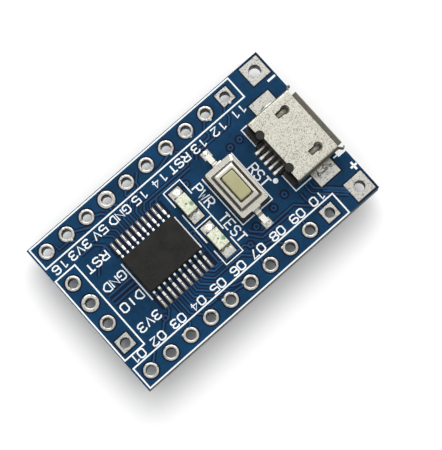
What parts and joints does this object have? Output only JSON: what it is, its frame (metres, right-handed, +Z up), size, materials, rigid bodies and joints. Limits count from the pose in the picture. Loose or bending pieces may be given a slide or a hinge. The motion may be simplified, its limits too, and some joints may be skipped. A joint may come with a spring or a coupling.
{
  "type": "microcontroller board",
  "caption": "Small rectangular microcontroller board with two rows of header holes, a micro USB socket, a reset button, indicator lights and a back-mounted regulator.",
  "frame": {"origin": "under the middle of the board, on the surface that the regulator stands on", "axes": "+X along the board towards the USB socket, +Y across it towards the row whose power hole is the minus one, +Z up out of the component face"},
  "size_m": [0.0296, 0.0178, 0.0062],
  "materials": {
    "black_nylon": "black glass-filled nylon",
    "blue_solder_mask": "deep blue satin-gloss lacquer with copper traces showing through as faint ridges",
    "board_epoxy": "bare glass-epoxy laminate, dull, fibres showing at the sawn edges",
    "bright_cover_steel": "bright pressed stainless steel",
    "capacitor_ceramic": "tan fired ceramic",
    "copper_alloy": "bare copper alloy",
    "cream_plunger": "cream-olive moulded plastic",
    "light_resin": "milky clear cast resin",
    "light_substrate": "white laminate",
    "package_epoxy": "matt charcoal moulding compound, fine grain, no marking",
    "resistor_film": "black glazed overcoat",
    "silicon": "polished silicon",
    "socket_shell_steel": "satin tin-plated steel with a fine speckle",
    "tinned_copper": "soft, slightly uneven tinned copper",
    "tinned_lead": "bright tin plating",
    "white_ceramic": "white alumina",
    "white_ink": "white printed ink"
  },
  "bodies": {
    "board": {"bottom_solder_mask": "blue_solder_mask", "chip_die": "silicon", "chip_leads": "tinned_lead", "chip_package": "package_epoxy", "chip_paddle": "copper_alloy", "chip_pads": "tinned_copper", "chip_part_pads": "tinned_copper", "core_capacitor_body": "capacitor_ceramic", "core_capacitor_terminals": "tinned_lead", "debug_port_holes": "tinned_copper", "header_holes_lower": "tinned_copper", "header_holes_upper": "tinned_copper", "input_capacitor_body": "capacitor_ceramic", "input_capacitor_terminals": "tinned_lead", "output_capacitor_body": "capacitor_ceramic", "output_capacitor_terminals": "tinned_lead", "power_holes": "tinned_copper", "power_light_base": "light_substrate", "power_light_die": "silicon", "power_light_lens": "light_resin", "power_light_pads": "tinned_copper", "power_light_resistor_body": "white_ceramic", "power_light_resistor_film": "resistor_film", "power_light_resistor_terminals": "tinned_lead", "power_light_terminals": "tinned_lead", "printed_circuit_board": "board_epoxy", "regulator_leads": "tinned_lead", "regulator_package": "package_epoxy", "regulator_pads": "tinned_copper", "regulator_tab": "tinned_lead", "reset_capacitor_body": "capacitor_ceramic", "reset_capacitor_terminals": "tinned_lead", "reset_case": "black_nylon", "reset_cover": "bright_cover_steel", "reset_dome": "bright_cover_steel", "reset_pads": "tinned_copper", "reset_resistor_body": "white_ceramic", "reset_resistor_film": "resistor_film", "reset_resistor_terminals": "tinned_lead", "reset_terminals": "tinned_lead", "supply_capacitor_body": "capacitor_ceramic", "supply_capacitor_terminals": "tinned_lead", "test_light_base": "light_substrate", "test_light_die": "silicon", "test_light_lens": "light_resin", "test_light_pads": "tinned_copper", "test_light_resistor_body": "white_ceramic", "test_light_resistor_film": "resistor_film", "test_light_resistor_terminals": "tinned_lead", "test_light_terminals": "tinned_lead", "top_solder_mask": "blue_solder_mask", "usb_anchor_pads": "tinned_copper", "usb_contacts": "tinned_lead", "usb_insulator": "black_nylon", "usb_shell": "socket_shell_steel", "usb_signal_pads": "tinned_copper"},
    "plunger": {"reset_plunger": "cream_plunger"}
  },
  "joints": [
    {"name": "reset_press", "type": "slide", "parent": "board", "child": "plunger", "axis": [0, 0, 1], "range_m": [-0.00025, 0], "stiffness_N_per_m": 4000, "deforming": ["reset_dome"]}
  ]
}
